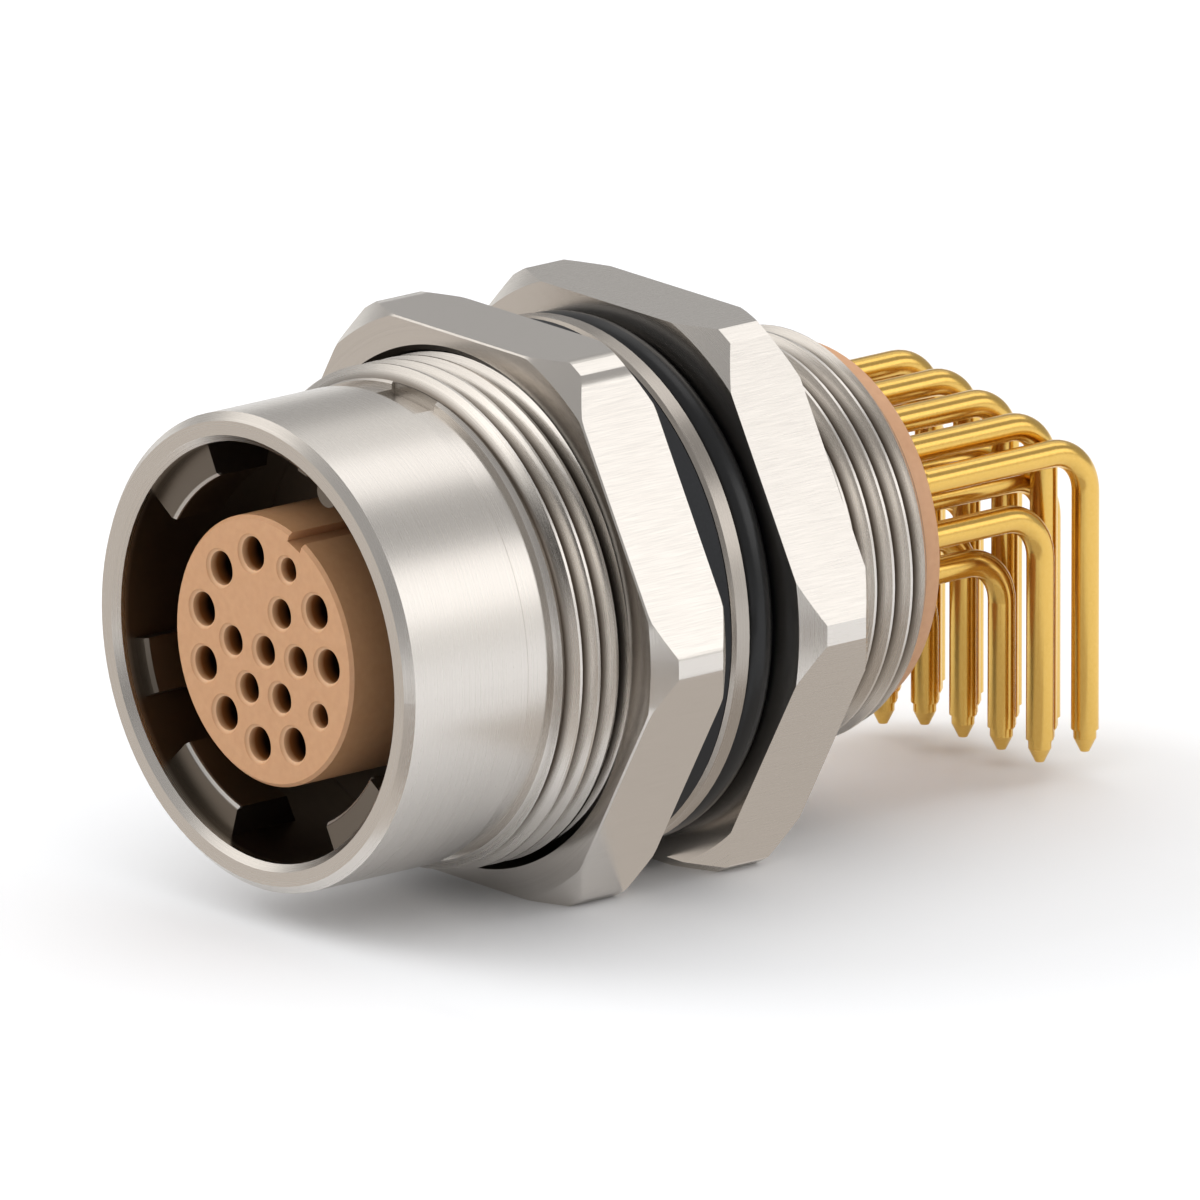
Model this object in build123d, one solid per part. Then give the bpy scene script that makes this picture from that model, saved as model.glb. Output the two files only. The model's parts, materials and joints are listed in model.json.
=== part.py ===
"""Round panel receptacle with seventeen right-angle board contacts.

The axis of the shell is Y. The front, where the plug goes in, is at -Y and the
board tails point down, to -Z. The origin is on the axis, in the plane where the
panel meets the hexagon flange. Sizes are millimetres, angles are degrees and are
counted from +X towards +Z, as seen from the front.
"""
import os
from math import cos, radians, sin, tan

from build123d import *

# Lengths along the axis
nose_length = 19.6  # flange face to the rim
barrel_length = 6.7  # plain front of the shell
relief_length = 1.3  # narrow neck between barrel and thread
flange_thickness = 3.85
rear_thread_length = 6.95
cavity_depth = 8.2  # rim to the floor that the plug meets

# Radii of the shell
barrel_radius = 10.4
barrel_bore = 9.13
relief_radius = 10.15
seal_neck_depth = 0.49  # thread root to the neck where the panel ring sits
insert_bore = 7.6
floor_bore = 6.05
rim_outer_edge = 0.35
rim_inner_edge = 0.3
turned_edge = 0.15
cut_over = 1.0  # how far a cutter runs past the face it cuts

# Threads, M22 x 1 in front and M18 x 1 at the back
thread_pitch = 1.0
thread_depth = 0.61
thread_crest_flat = 0.125
thread_flank = 30.0  # half the angle between two flanks
thread_foot = 0.05  # how far a ridge is let into its root, and trimmed wide of its crest
front_thread_root = 10.39
rear_thread_root = 8.39
rear_relief_length = 0.6  # narrow neck between flange and rear thread
rear_relief_radius = 8.3

# Hexagons of the flange and the nut
nut_clearance = 0.05  # radial, over the thread's crests
flat_wall = 0.95  # bore of the nut to its flats
corner_rise = 1.6  # flats to the turned corners
corner_chamfer = 0.85
nut_thickness = 4.15
nut_mouth = 0.3  # chamfer at both ends of the nut's bore

# Rings between the nut and the flange
seal_section = 1.6
washer_thickness = 1.0
gasket_thickness = 1.45
ring_clearance = 0.15  # radial, over the thread's crests
washer_width = 0.45
gasket_width = 0.4
seat_gap = 0.02

# Locking tabs and keys inside the barrel
tab_depth = 1.0  # rim to the tabs' front faces
tab_length = 3.6
tab_ramp = 0.9
wide_tab_radius = 7.75
narrow_tab_radius = 8.4
wide_tabs = ((117, 146), (223.5, 253.5), (298, 327))
narrow_tabs = ((38, 52), (189, 205))
key_angle = 64.0
key_width = 1.3
key_tip_radius = 7.95
rib_angles = (73.5, 77.5)
rib_radius = 8.5
notch_angles = (76.0, 92.0)  # the notch across the back edge of the barrel
notch_depth = 0.5
notch_length = 1.6

# Front insulator
nose_radius = 5.88
nose_recess = 0.6
insert_flange_length = 4.5
insert_tail_length = 2.4
insert_tail_radius = 6.4
insert_clearance = 0.05
keyway_angle = 68.0
keyway_width = 0.9
keyway_depth = 0.45
lip_thickness = 1.5
insert_seal_section = 1.0
insert_seal_squeeze = 0.9  # share of the ring's groove that its section fills

# Retaining ring behind the front insulator
clip_thickness = 0.7
clip_inner = 6.7
clip_outer = 7.95
clip_gap = 34.0

# Rear insulator
plug_length = 2.2
head_radius = 8.15
head_thickness = 1.15
head_edge = 0.25

# Socket pattern on the front face
outer_count = 11
outer_ring = 4.2
outer_start = 3.0
inner_ring = 2.15
outer_hole = 0.75
inner_hole = 0.65
small_hole = 0.53
small_sockets = ("outer_3", "outer_11")
hole_mouth = 0.14
entry_depth = 2.5

# Contacts
socket_radius = 0.78
socket_length = 9.0
socket_bore = 0.5
socket_bore_depth = 6.0
contact_clearance = 0.03
wire_radius = 0.6
wire_root = 0.5  # how far the wire reaches into its socket
fan_start_gap = 0.6  # straight wire behind the front insulator
fan_end_gap = 0.8  # straight wire before the rear insulator
fan_bend = 3.0
tail_bend = 2.0
collar_radius = 0.72
collar_length = 1.3
tip_radius = 0.2
tip_length = 0.6
lead_radius = 0.5  # the slimmer end of a tail, above its tip
lead_length = 0.4

# Board tails
half_pitch = 1.27  # columns and rows are staggered on this grid
first_row = 6.78  # back of the rear insulator to the nearest row
board_depth = 10.9  # axis to the tips of the tails

# Each contact: its socket, then its column, row and height at the rear
contact_table = (
    ("outer_1", 4, 3, 2.67),
    ("outer_2", 3, 2, 3.8),
    ("outer_3", 1, 2, 4.3),
    ("outer_4", -1, 2, 4.7),
    ("outer_5", -3, 2, 5.0),
    ("outer_6", -5, 2, 1.2),
    ("outer_7", -5, 0, -1.2),
    ("outer_8", -4, 1, -3.2),
    ("outer_9", -3, 0, -5.4),
    ("outer_10", 2, 1, -2.3),
    ("outer_11", 4, 1, 0.2),
    ("inner_1", 2, 3, 1.0),
    ("inner_2", 0, 3, 1.45),
    ("inner_4", -4, 3, 2.6),
    ("inner_5", -2, 1, -4.4),
    ("inner_6", 0, 1, -1.6),
    ("centre", -2, 3, -0.8),
)

# Stations that follow from the sizes
rim = -nose_length
barrel_end = rim + barrel_length
thread_start = barrel_end + relief_length
cavity_floor = rim + cavity_depth
insert_seat = cavity_floor + lip_thickness
clip_front = insert_seat + insert_flange_length
insert_rear = clip_front + insert_tail_length
flange_rear = flange_thickness
rear_thread_start = flange_rear + rear_relief_length
shell_rear = flange_rear + rear_thread_length
plug_front = shell_rear - plug_length
head_rear = shell_rear + head_thickness
nose_face = rim + nose_recess
socket_front = nose_face + entry_depth
socket_rear = socket_front + socket_length
washer_rear = -seal_section - 2 * seat_gap
gasket_rear = washer_rear - washer_thickness
nut_rear = gasket_rear - gasket_thickness

# Radii that follow from the front thread
seal_neck_radius = front_thread_root - seal_neck_depth
front_thread_crest = front_thread_root + thread_depth
nut_bore = front_thread_crest + nut_clearance
flat_radius = nut_bore + flat_wall
corner_radius = flat_radius + corner_rise
hex_face_radius = corner_radius - corner_chamfer
ring_bore = front_thread_crest + ring_clearance
washer_radius = ring_bore + washer_width
gasket_radius = ring_bore + gasket_width


def turned(points):
    """A solid turned about the axis from (radius, station) points."""
    corners = dict.fromkeys(points)
    profile = make_face(Polyline(*corners, close=True))
    return revolve(profile, Axis.Y)


def sector(points, start, end):
    """The part of a turned solid between two angles."""
    profile = make_face(Polyline(*points, close=True))
    wedge = revolve(profile, Axis.Y, end - start)
    return Rot(0, -end, 0) * wedge


def rod(x, z, front, rear, radius):
    """A round rod along the axis direction."""
    length = rear - front
    return Pos(x, front, z) * Rot(-90, 0, 0) * extrude(Circle(radius), length)


def tube(outer, inner, front, rear, edge=0.0):
    """A turned ring, with its outer edges broken."""
    return turned([
        (inner, front),
        (outer - edge, front),
        (outer, front + edge),
        (outer, rear - edge),
        (outer - edge, rear),
        (inner, rear),
    ])


def hexagon(front, rear):
    """A hexagon bar with turned corners, chamfered at both ends."""
    section = RegularPolygon(flat_radius, 6, major_radius=False)
    bar = Pos(0, front, 0) * Rot(-90, 0, 0) * extrude(section, rear - front)
    outline = turned([
        (0, front),
        (hex_face_radius, front),
        (corner_radius, front + corner_chamfer),
        (corner_radius, rear - corner_chamfer),
        (hex_face_radius, rear),
        (0, rear),
    ])
    return bar & outline


def thread(root, front, rear):
    """A right-hand thread: one ridge along a helix, chamfered at both ends."""
    base = root - thread_foot
    crest = root + thread_depth
    crest_half = thread_crest_flat / 2
    base_half = crest_half + (crest - base) * tan(radians(thread_flank))
    section = make_face(Polyline(
        (base, 0, -base_half),
        (crest, 0, -crest_half),
        (crest, 0, crest_half),
        (base, 0, base_half),
        close=True,
    ))
    start = front - thread_pitch
    helix = Helix(thread_pitch, rear + thread_pitch - start, root)
    ridge = Pos(0, start, 0) * Rot(-90, 0, 0) * sweep(section, helix, is_frenet=True)
    chamfer = thread_depth + thread_foot
    envelope = turned([
        (root - chamfer, front),
        (root, front),
        (root + chamfer, front + chamfer),
        (root + chamfer, rear - chamfer),
        (root, rear),
        (root - chamfer, rear),
    ])
    return ridge & envelope


def place(radius, angle):
    """X and Z of a point at a radius and an angle."""
    return radius * cos(radians(angle)), radius * sin(radians(angle))


def sockets():
    """Name, place and entry radius of each socket in the front face."""
    found = {"centre": (0.0, 0.0, inner_hole)}
    for n in range(outer_count):
        name = f"outer_{n + 1}"
        angle = outer_start + 360 / outer_count * n
        hole = small_hole if name in small_sockets else outer_hole
        found[name] = (*place(outer_ring, angle), hole)
    for n in (0, 1, 3, 4, 5):
        found[f"inner_{n + 1}"] = (*place(inner_ring, 60 * n), inner_hole)
    return found


def exits():
    """Place of each contact where it leaves the rear insulator."""
    return [(column * half_pitch, height) for _, column, _, height in contact_table]


def shell_blank():
    """The shell as it comes off the lathe."""
    outside = [
        (barrel_bore + rim_inner_edge, rim),
        (barrel_radius - rim_outer_edge, rim),
        (barrel_radius, rim + rim_outer_edge),
        (barrel_radius, barrel_end - turned_edge),
        (barrel_radius - turned_edge, barrel_end),
        (relief_radius, barrel_end),
        (relief_radius, thread_start),
        (front_thread_root, thread_start),
        (front_thread_root, -seal_section),
        (seal_neck_radius, -seal_section),
        (seal_neck_radius, flange_thickness / 2),
        (rear_relief_radius, flange_thickness / 2),
        (rear_relief_radius, rear_thread_start),
        (rear_thread_root, rear_thread_start),
        (rear_thread_root, shell_rear),
    ]
    inside = [
        (insert_bore, shell_rear),
        (insert_bore, insert_seat),
        (floor_bore, insert_seat),
        (floor_bore, cavity_floor),
        (barrel_bore, cavity_floor),
        (barrel_bore, rim + rim_inner_edge),
    ]
    return turned(outside + inside)


def locking_tabs():
    """Tabs inside the barrel, with a ramp at the back."""
    front = rim + tab_depth
    rear = front + tab_length
    wall = barrel_bore + turned_edge
    tabs = []
    for radius, group in ((wide_tab_radius, wide_tabs), (narrow_tab_radius, narrow_tabs)):
        profile = [
            (wall, front),
            (radius + turned_edge, front),
            (radius, front + turned_edge),
            (radius, rear - tab_ramp),
            (wall, rear),
        ]
        tabs += [sector(profile, start, end) for start, end in group]
    return tabs


def keys():
    """The round-nosed key and the flat rib inside the barrel."""
    front = rim + tab_depth
    wall = barrel_bore + turned_edge
    nose = key_tip_radius + key_width / 2
    length = cavity_floor - front
    section = Pos((nose + wall) / 2, 0) * Rectangle(wall - nose, key_width)
    section += Pos(nose, 0) * Circle(key_width / 2)
    key = Rot(0, -key_angle, 0) * Pos(0, front, 0) * Rot(-90, 0, 0) * extrude(section, length)
    profile = [(rib_radius, front), (wall, front), (wall, cavity_floor), (rib_radius, cavity_floor)]
    return [key, sector(profile, *rib_angles)]


def shell():
    """Barrel, threads, flange, tabs and keys in one piece."""
    body = shell_blank()
    body += thread(front_thread_root, thread_start, -seal_section)
    body += thread(rear_thread_root, rear_thread_start, shell_rear)
    flange_core = seal_neck_radius - turned_edge
    flange = hexagon(0, flange_rear) - rod(0, 0, -cut_over, flange_rear + cut_over, flange_core)
    web = tube(seal_neck_radius, insert_bore, 0, flange_rear)
    body += [flange, web]
    body += locking_tabs() + keys()
    notch_front = barrel_end - turned_edge
    notch_floor = barrel_radius - notch_depth
    notch = [
        (notch_floor, notch_front),
        (barrel_radius + turned_edge, notch_front),
        (barrel_radius + turned_edge, notch_front + notch_length),
        (notch_floor, notch_front + notch_length),
    ]
    body -= sector(notch, *notch_angles)
    groove = (clip_outer + insert_clearance, insert_bore - cut_over)
    body -= tube(*groove, clip_front, clip_front + clip_thickness)
    return body


def hex_nut():
    """The nut that clamps the panel, with a chamfer at each end of its bore."""
    front = nut_rear - nut_thickness
    mouth = nut_bore + nut_mouth
    hole = turned([
        (0, front - cut_over),
        (mouth, front - cut_over),
        (mouth, front),
        (nut_bore, front + nut_mouth),
        (nut_bore, nut_rear - nut_mouth),
        (mouth, nut_rear),
        (mouth, nut_rear + cut_over),
        (0, nut_rear + cut_over),
    ])
    return hexagon(front, nut_rear) - hole


def panel_seal():
    """Rubber ring of round section in front of the flange."""
    middle = seal_neck_radius + seat_gap + seal_section / 2
    section = Pos(middle, -seal_section / 2 - seat_gap) * Circle(seal_section / 2)
    return revolve(section, Axis.Y)


def front_insulator():
    """Moulded insert with closed-entry holes for the socket contacts."""
    flange_radius = insert_bore - insert_clearance
    groove = insert_seal_section * insert_seal_squeeze
    middle = insert_seat + insert_flange_length / 2
    body = turned([
        (0, nose_face),
        (nose_radius - turned_edge, nose_face),
        (nose_radius, nose_face + turned_edge),
        (nose_radius, insert_seat),
        (flange_radius, insert_seat),
        (flange_radius, middle - insert_seal_section / 2),
        (flange_radius - groove, middle - insert_seal_section / 2),
        (flange_radius - groove, middle + insert_seal_section / 2),
        (flange_radius, middle + insert_seal_section / 2),
        (flange_radius, clip_front),
        (insert_tail_radius, clip_front),
        (insert_tail_radius, insert_rear),
        (0, insert_rear),
    ])
    slot = Pos(nose_radius, 0) * Rectangle(2 * keyway_depth, keyway_width)
    slot = Pos(0, nose_face, 0) * Rot(-90, 0, 0) * extrude(slot, cavity_depth - nose_recess)
    body -= Rot(0, -keyway_angle, 0) * slot
    for x, z, hole in sockets().values():
        bore = socket_radius + contact_clearance
        body -= Pos(x, 0, z) * turned([
            (0, nose_face - cut_over),
            (hole + hole_mouth, nose_face - cut_over),
            (hole + hole_mouth, nose_face),
            (hole, nose_face + hole_mouth),
            (hole, socket_front),
            (bore, socket_front),
            (bore, insert_rear + cut_over),
            (0, insert_rear + cut_over),
        ])
    return body


def insert_seal():
    """Small rubber ring in the groove of the front insulator."""
    middle = insert_seat + insert_flange_length / 2
    outer = insert_bore - insert_clearance / 2
    section = insert_seal_section * insert_seal_squeeze
    profile = Pos(outer - section / 2, middle) * Circle(section / 2)
    return revolve(profile, Axis.Y)


def retaining_ring():
    """Open spring ring in the shell's groove, behind the front insulator."""
    profile = [
        (clip_inner, clip_front + seat_gap),
        (clip_outer, clip_front + seat_gap),
        (clip_outer, clip_front + clip_thickness - seat_gap),
        (clip_inner, clip_front + clip_thickness - seat_gap),
    ]
    return sector(profile, -90 + clip_gap / 2, 270 - clip_gap / 2)


def rear_insulator():
    """Stepped disc that closes the shell and holds the contacts apart."""
    plug = insert_bore - insert_clearance
    body = turned([
        (0, plug_front),
        (plug, plug_front),
        (plug, shell_rear),
        (head_radius, shell_rear),
        (head_radius, head_rear - head_edge),
        (head_radius - head_edge, head_rear),
        (0, head_rear),
    ])
    hole = wire_radius + contact_clearance
    for x, z in exits():
        body -= rod(x, z, plug_front - cut_over, head_rear + cut_over, hole)
    return body


def contact(socket, column, row, height):
    """A socket, its wire through the shell, the bend and the stepped board tail."""
    x, z, _ = sockets()[socket]
    exit_x = column * half_pitch
    tail_y = head_rear + first_row + row * half_pitch
    tail_end = tip_length + lead_length - board_depth
    route = FilletPolyline(
        (x, socket_rear - wire_root, z),
        (x, insert_rear + fan_start_gap, z),
        (exit_x, plug_front - fan_end_gap, height),
        (exit_x, tail_y, height),
        (exit_x, tail_y, tail_end),
        radius=(fan_bend, fan_bend, tail_bend),
    )
    start = Plane(route @ 0, z_dir=route % 0)
    body = sweep(start * Circle(wire_radius), route)
    body += rod(x, z, socket_front + seat_gap, socket_rear, socket_radius)
    body += rod(exit_x, height, head_rear + seat_gap, head_rear + collar_length, collar_radius)
    body += Pos(exit_x, tail_y, tail_end - lead_length / 2) * Cylinder(lead_radius, lead_length)
    body += Pos(exit_x, tail_y, tip_length / 2 - board_depth) * Cone(tip_radius, lead_radius, tip_length)
    body -= rod(x, z, socket_front - cut_over, socket_front + socket_bore_depth, socket_bore)
    return body


def pieces():
    """Every piece by its name."""
    made = {
        "shell": shell(),
        "hex_nut": hex_nut(),
        "flat_gasket": tube(gasket_radius, ring_bore, nut_rear, gasket_rear, turned_edge),
        "clamp_washer": tube(washer_radius, ring_bore, gasket_rear, washer_rear, turned_edge),
        "panel_seal": panel_seal(),
        "front_insulator": front_insulator(),
        "insert_seal": insert_seal(),
        "retaining_ring": retaining_ring(),
        "rear_insulator": rear_insulator(),
    }
    for number, row in enumerate(contact_table, 1):
        made[f"contact_{number:02d}"] = contact(*row)
    return made


os.makedirs("parts", exist_ok=True)
for name, shape in pieces().items():
    export_step(shape, f"parts/{name}.step")
    print(name, round(shape.volume, 2))
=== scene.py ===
# %% [markdown]
# # A round panel receptacle, its looks
#
# The part is a shell of turned and nickel plated brass that carries two
# insulators and seventeen gold plated contacts. Its shape, threads included,
# comes from a imported model with one node for each piece. This script adds what a
# drawing die, a turning tool, a plating bath and a mould leave on them: fine lines
# in the metal, rubber and plastic, and the fine thread in the bore of the nut.
# A few places get a darker or brighter colour to match the photograph, and the
# text before their cell names them. Each cell makes one thing, and most print it.

# %% Imported model
import json
from math import cos, radians, sin

import bmesh
import bpy
import numpy as np
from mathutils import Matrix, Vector


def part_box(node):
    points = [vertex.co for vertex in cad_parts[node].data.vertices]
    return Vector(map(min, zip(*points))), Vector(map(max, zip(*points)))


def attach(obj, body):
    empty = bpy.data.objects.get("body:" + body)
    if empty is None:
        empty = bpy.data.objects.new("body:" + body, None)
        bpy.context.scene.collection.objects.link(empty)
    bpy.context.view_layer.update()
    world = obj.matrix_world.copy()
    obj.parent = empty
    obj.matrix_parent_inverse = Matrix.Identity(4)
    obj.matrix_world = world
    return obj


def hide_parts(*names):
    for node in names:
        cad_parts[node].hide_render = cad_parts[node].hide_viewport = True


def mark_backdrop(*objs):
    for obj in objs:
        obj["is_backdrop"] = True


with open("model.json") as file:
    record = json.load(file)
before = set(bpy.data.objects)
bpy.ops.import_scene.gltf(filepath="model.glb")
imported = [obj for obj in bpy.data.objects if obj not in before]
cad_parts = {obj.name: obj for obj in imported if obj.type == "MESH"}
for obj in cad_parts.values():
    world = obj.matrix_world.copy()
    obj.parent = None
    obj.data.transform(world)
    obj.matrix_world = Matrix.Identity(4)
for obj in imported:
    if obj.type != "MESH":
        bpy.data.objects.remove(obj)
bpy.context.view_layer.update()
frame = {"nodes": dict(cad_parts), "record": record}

MM = 0.001
nodes = frame["nodes"]

# %% [markdown]
# ## Sizes taken from the model
#
# The axis of the shell is Y, with the front at -Y. Stations along it and radii
# about it come from the boxes of the nodes, so what is made here follows the
# model if its sizes change.

# %% Stations and radii
def span(name, axis):
    """Lowest and highest place of a node along an axis, in metres."""
    low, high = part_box(name)
    return low[axis], high[axis]


rim, _ = span("shell", 1)
nut_front, nut_rear = span("hex_nut", 1)
_, flat_height = span("hex_nut", 2)
_, nut_corner = span("hex_nut", 0)
floor_height, _ = span("shell", 2)
print("rim at %.2f mm, nut from %.2f to %.2f mm" % (rim / MM, nut_front / MM, nut_rear / MM))

# %% [markdown]
# ## The camera
#
# The photograph is a product shot with a long lens, so the nearly parallel view
# is a camera some metres off. It looks down a little, from the right of the
# front. The width of the view comes from the shell's size in the picture.

# %% Camera
AZIMUTH = radians(50.0)
ELEVATION = radians(15.8)
DISTANCE = 2.2
VIEW_WIDTH = 50.9 * MM
SENSOR = 36.0
look_at = np.array([9.0, -7.9, 2.2]) * MM
forward = np.array([
    -sin(AZIMUTH) * cos(ELEVATION),
    cos(AZIMUTH) * cos(ELEVATION),
    -sin(ELEVATION),
])
lens = bpy.data.cameras.new("camera")
lens.sensor_width = SENSOR
lens.lens = SENSOR * DISTANCE / VIEW_WIDTH
camera = bpy.data.objects.new("camera", lens)
camera.location = look_at - forward * DISTANCE
camera.rotation_euler = (radians(90) - ELEVATION, 0, AZIMUTH)
bpy.context.scene.collection.objects.link(camera)
bpy.context.scene.camera = camera
bpy.context.scene.view_settings.view_transform = "Standard"
print("lens %.0f mm at %.1f m" % (lens.lens, DISTANCE))

# %% [markdown]
# ## Helpers for materials
#
# A colour is written as it is seen on a screen and is turned linear once, here.
# Every shader is a few nodes, so one function that adds a node, sets it and
# links it keeps each finish short enough to read in one look. Its sockets are
# named, or given in their order: in a map range that is the value, the two ends
# that it runs between, and what those ends become.

# %% Colour and node helpers
def linear(code):
    """Linear colour of a screen colour written as six hex digits."""
    part = np.array([int(code[i:i + 2], 16) for i in (0, 2, 4)]) / 255
    light = np.where(part <= 0.04045, part / 12.92, ((part + 0.055) / 1.055) ** 2.4)
    return (*light, 1.0)


def feed(tree, node, inputs):
    """Sets sockets of a node, by name or in order, to values or to outputs."""
    pairs = inputs.items() if isinstance(inputs, dict) else enumerate(inputs)
    for socket, value in pairs:
        if isinstance(value, bpy.types.NodeSocket):
            tree.links.new(value, node.inputs[socket])
        else:
            node.inputs[socket].default_value = value


def add(tree, kind, inputs=(), **settings):
    """Adds one node with its settings and feeds its sockets."""
    made = tree.nodes.new(kind)
    for name, value in settings.items():
        setattr(made, name, value)
    feed(tree, made, inputs)
    return made


def surface(name, shader_inputs):
    """A new material with its principled shader's sockets set."""
    material = bpy.data.materials.new(name)
    material.use_nodes = True
    shader = material.node_tree.nodes["Principled BSDF"]
    feed(material.node_tree, shader, shader_inputs)
    return material, material.node_tree, shader


print("half grey is", round(linear("808080")[0], 3), "in linear light")

# %% [markdown]
# ## Reading a place on the part
#
# Patterns here follow the axis of the part, since most of it is turned. So they
# are read by the distance from the axis and the station along it. A zone is the
# room within a radius and between two stations, with soft edges.

# %% Place and zone
def axis_frame(tree):
    """Outputs that describe a place round the Y axis: place, parts, radius, tangent."""
    place = add(tree, "ShaderNodeTexCoord").outputs["Object"]
    parts = add(tree, "ShaderNodeSeparateXYZ", [place]).outputs
    across = add(tree, "ShaderNodeCombineXYZ", {"X": parts["X"], "Z": parts["Z"]}).outputs[0]
    radius = add(tree, "ShaderNodeVectorMath", [across], operation="LENGTH").outputs["Value"]
    along = add(tree, "ShaderNodeVectorMath", [(0, 1, 0), across],
                operation="CROSS_PRODUCT").outputs[0]
    return place, parts, radius, along


FADE_IN = 0.4 * MM
FADE_OUT = 0.1 * MM


def zone(tree, parts, radius, inner, outer, front, rear):
    """One within a radius and between two stations, else zero: three ramps multiplied."""
    station = parts["Y"]
    inside = add(tree, "ShaderNodeMapRange", [radius, inner, outer, 1.0, 0.0]).outputs[0]
    behind = add(tree, "ShaderNodeMapRange", [station, front, front + FADE_IN, 0.0, 1.0]).outputs[0]
    ahead = add(tree, "ShaderNodeMapRange", [station, rear - FADE_OUT, rear, 1.0, 0.0]).outputs[0]
    between = add(tree, "ShaderNodeMath", [behind, ahead], operation="MULTIPLY").outputs[0]
    return add(tree, "ShaderNodeMath", [inside, between], operation="MULTIPLY").outputs[0]


print("zones fade in over %.1f mm" % (FADE_IN / MM))

# %% [markdown]
# ## Turned and plated brass
#
# The shell, the nut and the washer are cut on a lathe and get a thin nickel
# plate. The tool leaves fine rings round the axis, and they make a highlight that
# is short round the axis and long across the rings. The rings are noise read by
# distance along the axis and from it, so they close round the piece, and the
# shader's tangent runs the same way. The two hexagons are bar that was drawn
# through a die, so their flats carry straight lines along the axis instead. Real
# lines are some hundredths of a millimetre apart, and these are drawn at the
# coarse end of that so that they show.
#
# The bore of the shell, the roots of the threads and the mouth of the nut are
# drawn dark, and the inner edges of the wide tabs bright. Each is a zone with its
# own colour, picked to match, and a little rougher: painted shade in the dark
# ones and a painted highlight on the tab edges. One picture doesn't tell how much
# of the dark is duller metal.

# %% Plated metal
TURNED_STRETCH = 0.6
DRAWN_STRETCH = 0.0
DRAWN_SCALE = (1.5, 0.03, 1.5)
SIDE_FACING = 0.3
LINE_SHADE = "A8A39D"
LINE_TINT = 0.12
LINE_RANGE = (0.3, 0.7)
LINE_DEPTH = 0.05
BUMP_STRENGTH = 0.11
ROUGHNESS_SWING = 0.04
ZONE_ROUGHER = 0.1


def plated_nickel(name, colour, roughness, line_width, hexagon=None, zones=()):
    """Metal with tool rings, straight lines on flats beyond a radius, and zones of painted shade or
    highlight.
    """
    material, tree, shader = surface(name, {"Metallic": 1.0})
    place, parts, radius, along = axis_frame(tree)
    course = add(tree, "ShaderNodeCombineXYZ", {"X": radius, "Y": parts["Y"]}).outputs[0]
    stretch = TURNED_STRETCH
    if hexagon:
        drawn = add(tree, "ShaderNodeVectorMath", [place, DRAWN_SCALE],
                    operation="MULTIPLY").outputs[0]
        facing = add(tree, "ShaderNodeNewGeometry").outputs["True Normal"]
        toward = add(tree, "ShaderNodeSeparateXYZ", [facing]).outputs["Y"]
        tilt = add(tree, "ShaderNodeMath", [toward], operation="ABSOLUTE").outputs[0]
        sideways = add(tree, "ShaderNodeMath", [tilt, SIDE_FACING], operation="LESS_THAN").outputs[0]
        beyond = add(tree, "ShaderNodeMath", [radius, hexagon], operation="GREATER_THAN").outputs[0]
        flat = add(tree, "ShaderNodeMath", [sideways, beyond], operation="MULTIPLY").outputs[0]
        course = add(tree, "ShaderNodeMix", {"Factor": flat, "A": course, "B": drawn},
                     data_type="VECTOR").outputs["Result"]
        stretch = add(tree, "ShaderNodeMapRange", {
            "Value": flat,
            "To Min": TURNED_STRETCH,
            "To Max": DRAWN_STRETCH,
        }).outputs[0]
    lines = add(tree, "ShaderNodeTexNoise", {
        "Vector": course,
        "Scale": 1 / line_width,
        "Detail": 2.0,
    }).outputs["Fac"]
    bump = add(tree, "ShaderNodeBump", {
        "Height": lines,
        "Strength": BUMP_STRENGTH,
        "Distance": line_width * LINE_DEPTH,
    }).outputs[0]
    smooth, dull = roughness - ROUGHNESS_SWING, roughness + ROUGHNESS_SWING
    rough = add(tree, "ShaderNodeMapRange", [lines, *LINE_RANGE, smooth, dull]).outputs[0]
    tint = add(tree, "ShaderNodeMapRange", [lines, *LINE_RANGE, 0.0, LINE_TINT]).outputs[0]
    base = add(tree, "ShaderNodeMix", {"Factor": tint, "A": linear(colour), "B": linear(LINE_SHADE)},
               data_type="RGBA").outputs["Result"]
    # each zone lays painted shade or a painted highlight over the base colour
    for *limits, painted_colour in zones:
        mask = zone(tree, parts, radius, *limits)
        base = add(tree, "ShaderNodeMix", {"Factor": mask, "A": base, "B": linear(painted_colour)},
                   data_type="RGBA").outputs["Result"]
        rough = add(tree, "ShaderNodeMath", [mask, ZONE_ROUGHER, rough],
                    operation="MULTIPLY_ADD").outputs[0]
    feed(tree, shader, {
        "Base Color": base,
        "Roughness": rough,
        "Anisotropic": stretch,
        "Tangent": along,
        "Normal": bump,
    })
    return material


HEXAGON = 11.8 * MM
NICKEL = "DBD6D0"
# each zone: radius where it starts and ends to fade, front and rear station, colour;
# the bore and the thread roots are painted shade, the tab edges a painted highlight
bore_painted_shade = (9.2 * MM, 9.25 * MM, rim + 0.35 * MM, rim + 8.3 * MM, "7B736A")
tab_edge_painted_highlight = (7.84 * MM, 7.88 * MM, rim + 0.5 * MM, rim + 1.3 * MM, "D8D5D1")
front_root_painted_shade = (10.42 * MM, 10.75 * MM, rim + 8.0 * MM, 0.0, "7A7168")
rear_root_painted_shade = (8.42 * MM, 8.75 * MM, nut_rear + 8.5 * MM, 0.1, "7A7168")
# painted shade at the mouth of the nut
nut_mouth_painted_shade = (11.33 * MM, 11.35 * MM, -1.0, 1.0, "4A433C")
shell_metal = plated_nickel("plated_shell", NICKEL, 0.25, 0.05 * MM, HEXAGON,
                            (bore_painted_shade, tab_edge_painted_highlight, front_root_painted_shade, rear_root_painted_shade))
nut_metal = plated_nickel("plated_nut", NICKEL, 0.22, 0.05 * MM, HEXAGON, (nut_mouth_painted_shade,))
washer_metal = plated_nickel("plated_washer", "AFA8A0", 0.24, 0.05 * MM)
print("plated metal for the shell, the nut and the washer")
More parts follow.
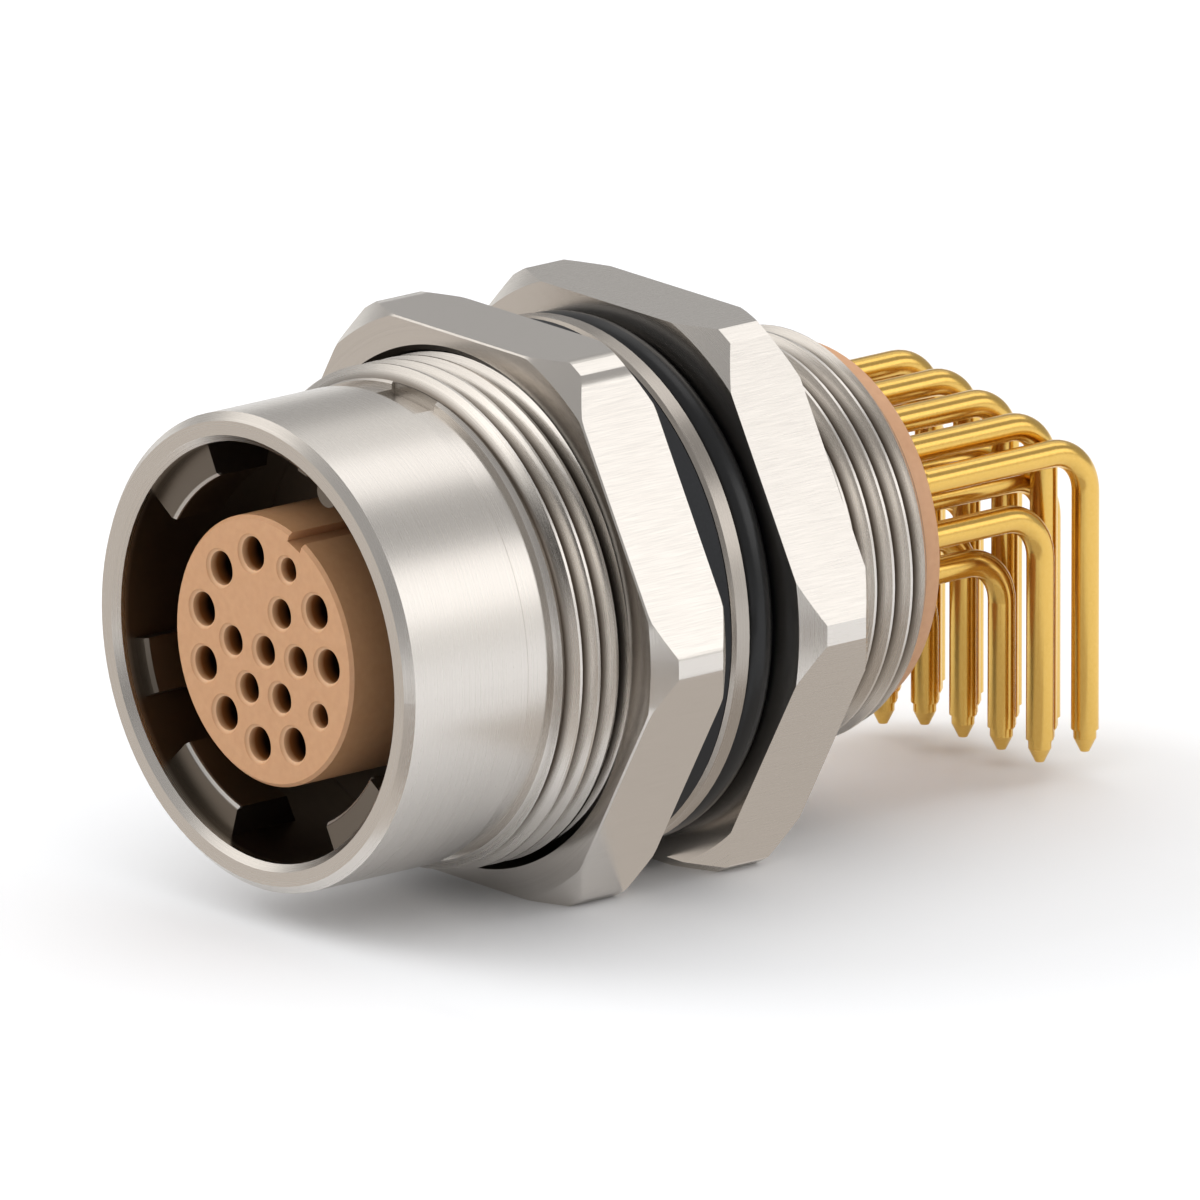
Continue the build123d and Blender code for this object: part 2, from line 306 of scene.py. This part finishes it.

# %% [markdown]
# ## Rubber, plastic, spring steel and gold
#
# The flat gasket is a cut sheet and the rings are moulded: black nitrile rubber,
# dull on the gasket and satin on the rings. The insulators are moulded in a
# glass filled polyester of a tan colour, with a faint mottle from the flow of the
# melt. The holes of the front one are drawn dark, with a light rim: painted shade
# that deepens with the depth behind the face, and a painted highlight at the mouth.
# The contacts are drawn copper alloy wire with a gold plate over nickel.

# %% Moulded and plated materials
def mottled(name, light, dark, grain, bump_height, shader_inputs):
    """A material whose colour and surface vary with a fine noise."""
    material, tree, shader = surface(name, shader_inputs)
    place = add(tree, "ShaderNodeTexCoord").outputs["Object"]
    noise = add(tree, "ShaderNodeTexNoise", {
        "Vector": place,
        "Scale": 1 / grain,
        "Detail": 4.0,
    }).outputs["Fac"]
    bump = add(tree, "ShaderNodeBump", {
        "Height": noise,
        "Strength": 0.4,
        "Distance": bump_height,
    }).outputs[0]
    colour = add(tree, "ShaderNodeMix", {"Factor": noise, "A": linear(dark), "B": linear(light)},
                 data_type="RGBA").outputs["Result"]
    feed(tree, shader, {"Base Color": colour, "Normal": bump})
    return material


# start and end of each step behind the face, how much of it is laid on, its colour:
# a painted highlight at the mouth, then painted shade deeper in
PAINTED_HOLE_STEPS = [
    (0.02 * MM, 0.12 * MM, 0.5, "EFC9A2"),
    (0.13 * MM, 0.5 * MM, 1.0, "8C5526"),
    (0.4 * MM, 1.0 * MM, 1.0, "120600"),
]


def paint_hole_shade_and_rim(material, face, edge):
    """Paints shade by the depth behind the face, and a light rim at the mouth, inside a radius of a
    moulded piece.
    """
    tree = material.node_tree
    shader = tree.nodes["Principled BSDF"]
    colour = shader.inputs["Base Color"].links[0].from_socket
    _, parts, radius, _ = axis_frame(tree)
    within = add(tree, "ShaderNodeMapRange",
                 [radius, edge - 0.1 * MM, edge - 0.05 * MM, 1.0, 0.0]).outputs[0]
    for start, end, amount, shade in PAINTED_HOLE_STEPS:
        depth = add(tree, "ShaderNodeMapRange",
                    [parts["Y"], face + start, face + end, 0.0, amount]).outputs[0]
        mask = add(tree, "ShaderNodeMath", [depth, within], operation="MULTIPLY").outputs[0]
        colour = add(tree, "ShaderNodeMix", {"Factor": mask, "A": colour, "B": linear(shade)},
                     data_type="RGBA").outputs["Result"]
    feed(tree, shader, {"Base Color": colour})


HOLES_WITHIN = 5.3 * MM
insert_face, _ = span("front_insulator", 1)
gasket_rubber = mottled("gasket_rubber", "26272A", "1C1D1F", 0.12 * MM, 0.006 * MM, {
    "Roughness": 0.6,
    "Specular IOR Level": 0.25,
})
seal_rubber = mottled("seal_rubber", "17181A", "101011", 0.2 * MM, 0.002 * MM, {
    "Roughness": 0.28,
    "Specular IOR Level": 0.4,
})
front_plastic = mottled("front_plastic", "C99A71", "BA8A62", 0.35 * MM, 0.002 * MM, {
    "Roughness": 0.42,
    "Subsurface Weight": 0.15,
    "Subsurface Radius": (0.6 * MM, 0.3 * MM, 0.15 * MM),
})
# painted shade in the holes and a painted highlight on their rims
paint_hole_shade_and_rim(front_plastic, insert_face, HOLES_WITHIN)
rear_plastic = mottled("rear_plastic", "CF9F78", "BF8D66", 0.35 * MM, 0.002 * MM, {
    "Roughness": 0.45,
})
spring_steel = mottled("spring_steel", "9A9894", "868480", 0.08 * MM, 0.002 * MM, {
    "Metallic": 1.0,
    "Roughness": 0.35,
})
gold_contacts = mottled("gold_contacts", "EAC470", "DFB35A", 0.15 * MM, 0.002 * MM, {
    "Metallic": 1.0,
    "Roughness": 0.22,
})
print("rubber, plastic, steel and gold")

# %% [markdown]
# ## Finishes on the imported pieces
#
# Each node already names the slot that its finish belongs to, so the finish is
# found by that name.

# %% Materials on the nodes
finishes = {
    "plated_shell": shell_metal,
    "plated_nut": nut_metal,
    "plated_washer": washer_metal,
    "gasket_rubber": gasket_rubber,
    "seal_rubber": seal_rubber,
    "inner_seal_rubber": seal_rubber,
    "front_plastic": front_plastic,
    "rear_plastic": rear_plastic,
    "spring_steel": spring_steel,
    "gold_contacts": gold_contacts,
}
for part in frame["record"]["subparts"]:
    mesh = nodes[part["node"]].data
    mesh.materials.clear()
    mesh.materials.append(finishes[part["material_slot"]])
print(len(finishes), "finishes on", len(nodes), "nodes")

# %% [markdown]
# ## Surfaces from rings of points
#
# Every new piece is a skin over rings of points. The rings come from numpy as one
# array, ring by ring, and each ring is a closed loop. Where the last ring falls
# on the first, the seam is welded, and otherwise the two end rings are closed.

# %% Mesh helper
WELD = 0.0005 * MM
SHARP = radians(35)


def skin(name, rings, material, seam=False):
    """Closed mesh over rings: each face joins two neighbours in a ring to those in the next."""
    count, size = rings.shape[:2]
    index = np.arange(count * size).reshape(count, size)
    here, there = index[:-1], index[1:]
    quads = np.stack([here, there, np.roll(there, -1, 1), np.roll(here, -1, 1)], -1)
    faces = quads.reshape(-1, 4).tolist()
    if not seam:
        faces += [index[0].tolist(), index[-1, ::-1].tolist()]
    mesh = bpy.data.meshes.new(name)
    mesh.from_pydata(rings.reshape(-1, 3).tolist(), [], faces)
    work = bmesh.new()
    work.from_mesh(mesh)
    bmesh.ops.remove_doubles(work, verts=work.verts, dist=WELD)
    bmesh.ops.dissolve_degenerate(work, edges=work.edges, dist=WELD)
    if work.calc_volume(signed=True) < 0:
        bmesh.ops.reverse_faces(work, faces=work.faces)
    work.to_mesh(mesh)
    work.free()
    mesh.shade_smooth()
    mesh.set_sharp_from_angle(angle=SHARP)
    mesh.materials.append(material)
    made = bpy.data.objects.new(name, mesh)
    bpy.context.scene.collection.objects.link(made)
    print(name, len(mesh.polygons), "faces")
    return made


def around(radius, station, angle):
    """XYZ about the Y axis: X and Z are the radius times the angle's cosine and sine."""
    radius, station, angle = np.broadcast_arrays(radius, station, angle)
    return np.stack([radius * np.cos(angle), station, radius * np.sin(angle)], -1)


# %% [markdown]
# ## The nut with its own thread
#
# The model's nut has a plain bore over the crests of the shell's thread. A real
# one is tapped, and its groove shows at the mouth when the nut is turned off, so
# this nut takes its place. It is built by columns round the axis. Each column
# goes out along the front face, over the corner chamfer, along the side, over the
# rear chamfer, in along the rear face and back through the bore. The side is the
# distance to the flat at that angle, or the turned corner if that is nearer. The
# groove follows the same right-hand helix as the shell's ridge, so it starts at
# the station where that ridge crosses the +X side.

# %% Nut
PITCH = 1.0 * MM
FLANK = np.tan(radians(30))
CREST_FLAT = PITCH / 8
CREST = 11.0 * MM
CREST_STATION = -2.6 * MM
FACE_RADIUS = 12.75 * MM
NUT_BORE = 10.45 * MM
MOUTH = 0.9 * MM
EDGE = 0.07 * MM
CLEARANCE = 0.03 * MM
FLAT_POINTS = 33
CORNER_POINTS = 7
GROOVE_POINTS = 9
TURNS = np.arange(-3, 13)

limit = np.arccos(flat_height / nut_corner)
sector = np.concatenate([
    np.linspace(-limit, limit, FLAT_POINTS),
    np.linspace(limit, np.pi / 3 - limit, CORNER_POINTS)[1:-1],
])
middles = np.pi / 6 + np.pi / 3 * np.arange(6)
angle = np.append((middles[:, None] + sector).ravel(), middles[0] - limit + 2 * np.pi)[:, None]
from_flat = np.mod(angle, np.pi / 3) - np.pi / 6
side = np.minimum(flat_height / np.cos(from_flat), nut_corner)
face = np.minimum(FACE_RADIUS, side - EDGE)
chamfer = np.maximum(side - face, EDGE)

# the groove, as depth over the distance from its middle
groove_root = CREST_FLAT / 2 - CLEARANCE * FLANK + CLEARANCE
groove_mouth = groove_root + (CREST + CLEARANCE - NUT_BORE) * FLANK
phase = np.array([-groove_mouth, -groove_root, groove_root, groove_mouth])
spread = np.linspace(-0.5, 0.5, GROOVE_POINTS)[1:] * PITCH
phase = np.sort(np.concatenate([phase, spread]))
reach = np.clip((groove_mouth - np.abs(phase)) / (groove_mouth - groove_root), 0, 1)
depth = reach * (CREST + CLEARANCE - NUT_BORE)
start = CREST_STATION - PITCH * angle / (2 * np.pi)
bore_station = start - (TURNS[:, None] * PITCH - phase[None, :]).ravel()
order = np.argsort(-bore_station[0])
bore_station = np.clip(bore_station[:, order], nut_front, nut_rear)
bore_depth = np.tile(depth, len(TURNS))[order]
from_end = np.minimum(bore_station - nut_front, nut_rear - bore_station)
bore_radius = NUT_BORE + np.maximum(bore_depth, np.maximum(MOUTH - from_end, 0))

zero = 0 * side
mouth = zero + NUT_BORE + MOUTH
radius = np.concatenate([mouth, face, side, side, face, mouth, bore_radius], 1)
station = np.concatenate([
    zero + nut_front,
    zero + nut_front,
    nut_front + chamfer,
    nut_rear - chamfer,
    zero + nut_rear,
    zero + nut_rear,
    bore_station,
], 1)
nut = skin("threaded_nut", around(radius, station, angle), nut_metal, seam=True)
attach(nut, "nut")
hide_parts("hex_nut")

# %% [markdown]
# ## Studio
#
# The part lies on a pale floor under one large soft light, with a small fill from
# the front left. Bright metal shows what is around it, so its bands of light and
# dark are made apart from the light on the floor, by boards that are seen in
# reflections alone. Five long ones stand round the part like the staves of a
# barrel, three stand in front of it, and four lie on the floor as cards, where
# the front faces mirror them. The two lights aren't seen in reflections, so
# lights and reflections can be set by themselves.

# %% Floor, boards and lights
BOARD_DISTANCE = 0.3
STAVE_MIDDLE = 0.79 * BOARD_DISTANCE
STAVE_HALF = 0.8 * BOARD_DISTANCE
REACH = 1.5


def board(name, middle, wide, tall, colour, strength):
    """A glowing board in reflections, from its middle and its two half sides."""
    material = bpy.data.materials.new(name)
    material.use_nodes = True
    tree = material.node_tree
    tree.nodes.clear()
    glow = add(tree, "ShaderNodeEmission", {"Color": linear(colour), "Strength": strength})
    add(tree, "ShaderNodeOutputMaterial", {"Surface": glow.outputs[0]})
    middle, wide, tall = (np.array(v, float) for v in (middle, wide, tall))
    corners = [middle + a * wide + b * tall for a, b in ((-1, -1), (1, -1), (1, 1), (-1, 1))]
    mesh = bpy.data.meshes.new(name)
    mesh.from_pydata([tuple(c) for c in corners], [], [(0, 1, 2, 3)])
    mesh.materials.append(material)
    made = bpy.data.objects.new(name, mesh)
    bpy.context.scene.collection.objects.link(made)
    made.visible_camera = False
    made.visible_diffuse = False
    made.visible_shadow = False
    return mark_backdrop(made)


def stave(name, bearing, spread, colour, strength):
    """A board along the part, at a bearing round the axis, as wide as a spread."""
    turn = radians(bearing)
    out = np.array([cos(turn), 0, sin(turn)])
    side = np.array([-sin(turn), 0, cos(turn)])
    middle = BOARD_DISTANCE * out + np.array([0, STAVE_MIDDLE, 0])
    half = BOARD_DISTANCE * np.tan(radians(spread / 2))
    return board(name, middle, side * half, (0, STAVE_HALF, 0), colour, strength)


def softbox(name, direction, distance, size, power):
    """A square area light that faces the part and isn't seen in it."""
    toward = np.array(direction, float)
    toward /= np.linalg.norm(toward)
    light = bpy.data.lights.new(name, "AREA")
    light.shape = "SQUARE"
    light.size = size
    light.energy = power
    made = bpy.data.objects.new(name, light)
    made.location = toward * distance
    made.rotation_euler = Vector(toward).to_track_quat("Z", "Y").to_euler()
    made.visible_glossy = False
    bpy.context.scene.collection.objects.link(made)
    return made


floor_mesh = bpy.data.meshes.new("floor")
corners = [(-REACH, -REACH), (REACH, -REACH), (REACH, REACH), (-REACH, REACH)]
floor_mesh.from_pydata([(x, y, floor_height) for x, y in corners], [], [(0, 1, 2, 3)])
floor_material, _, _ = surface("floor", {"Base Color": linear("F1F2F4"), "Roughness": 0.7})
floor_mesh.materials.append(floor_material)
floor = bpy.data.objects.new("floor", floor_mesh)
bpy.context.scene.collection.objects.link(floor)

softbox("overhead", (0.1, 0.2, 1), 0.6, 2.2, 12.7)
softbox("fill", (-1, -0.75, 0.65), 0.5, 0.3, 1.1)
stave("low_right", 7, 14, "FFFEFC", 0.9)
stave("right", 30, 30, "FFFEFD", 1.6)
stave("top", 93, 28, "FFFEFD", 1.5)
stave("top_left", 122, 24, "FFFEFC", 0.9)
stave("low_left", 174, 12, "FFFEFC", 1.0)
board("front_high", (-0.095, -0.25, 0.15), (0.06, -0.025, 0), (0, 0.02, 0.05), "FFFDFA", 1.9)
board("front_top", (-0.18, -0.15, 0.17), (0.08, -0.1, 0), (0.03, 0.03, 0.06), "FFFCF8", 1.3)
board("front_dark", (0.07, -0.29, 0.05), (0.09, 0.02, 0), (0, 0, 0.06), "2A2622", 1.0)
LYING = floor_height + 0.3 * MM
board("front_card", (-0.16, -0.137, LYING), (0.2, 0, 0), (0, 0.115, 0), "D6CFC8", 1.0)
board("left_card", (-0.2, 0.02, LYING), (0.17, 0, 0), (0, 0.042, 0), "CFC8C1", 1.0)
board("middle_card", (0.014, 0.006, LYING), (0.01, 0, 0), (0, 0.011, 0), "CBC4BD", 1.0)
board("right_card", (0.067, -0.038, LYING), (0.053, 0, 0), (0, 0.017, 0), "5A524A", 1.0)

world = bpy.data.worlds.new("world")
world.use_nodes = True
world.node_tree.nodes["Background"].inputs["Color"].default_value = linear("BCBBBA")
world.node_tree.nodes["Background"].inputs["Strength"].default_value = 0.9
bpy.context.scene.world = world
print("floor, two lights, twelve boards")
